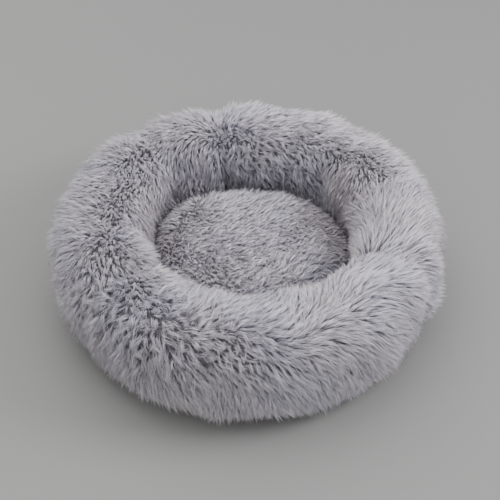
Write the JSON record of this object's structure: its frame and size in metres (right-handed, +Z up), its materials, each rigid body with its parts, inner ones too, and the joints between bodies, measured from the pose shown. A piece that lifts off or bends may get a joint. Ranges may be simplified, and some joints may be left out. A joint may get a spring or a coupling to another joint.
{
  "type": "pet cushion bed",
  "caption": "Round donut-shaped pet bed: a stuffed long-pile fur rim on a flat zipped fabric base, with a loose domed fur cushion in its well.",
  "frame": {"origin": "on the floor, under the middle of the bed", "axes": "+Z up; +Y towards the back; the zip runs along X, closed at its +X end"},
  "size_m": [0.5816, 0.5812, 0.174],
  "materials": {
    "fur": "long-pile lavender-grey faux fur",
    "cushion_fur": "shorter, curled lavender-grey faux fur",
    "liner_cloth": "plain non-woven inner cloth",
    "fibre_filling": "white polyester fibre",
    "base_cloth": "dark woven cloth with small rubber grip dots",
    "lining_cloth": "plain grey brushed cloth",
    "binding_tape": "ribbed binding tape",
    "zip_tape": "woven zip tape",
    "zip_coil": "nylon coil",
    "zip_metal": "grey painted die-cast metal",
    "label_satin": "white satin, blank"
  },
  "bodies": {
    "bed": {"fur_panel_back_left": "fur", "fur_panel_front": "fur", "fur_panel_right": "fur", "rim_liner": "liner_cloth", "rim_filling": "fibre_filling", "base_fabric_front": "base_cloth", "base_fabric_back": "base_cloth", "base_wadding": "fibre_filling", "floor_lining": "lining_cloth", "base_binding": "binding_tape", "care_label": "label_satin", "zip_tape_front": "zip_tape", "zip_tape_back": "zip_tape", "zip_teeth_front": "zip_coil", "zip_teeth_back": "zip_coil", "zip_top_stop": "zip_metal", "zip_bottom_stop": "zip_metal"},
    "cushion": {"cushion_fur_top": "cushion_fur", "cushion_filling": "fibre_filling", "cushion_base_cloth": "lining_cloth"},
    "zip_slider": {"zip_slider": "zip_metal"},
    "zip_pull": {"zip_pull_tab": "zip_metal"}
  },
  "joints": [
    {"name": "cushion_lift", "type": "slide", "parent": "bed", "child": "cushion", "axis": [0, 0, 1], "range_m": [0, 0.25]},
    {"name": "zip_run", "type": "slide", "parent": "bed", "child": "zip_slider", "axis": [-1, 0, 0], "range_m": [0, 0.2795]},
    {"name": "zip_pull_swing", "type": "hinge", "parent": "zip_slider", "child": "zip_pull", "pos_m": [0.13975, 0, 0.0054], "axis": [0, -1, 0], "range_deg": [0, 170]}
  ]
}
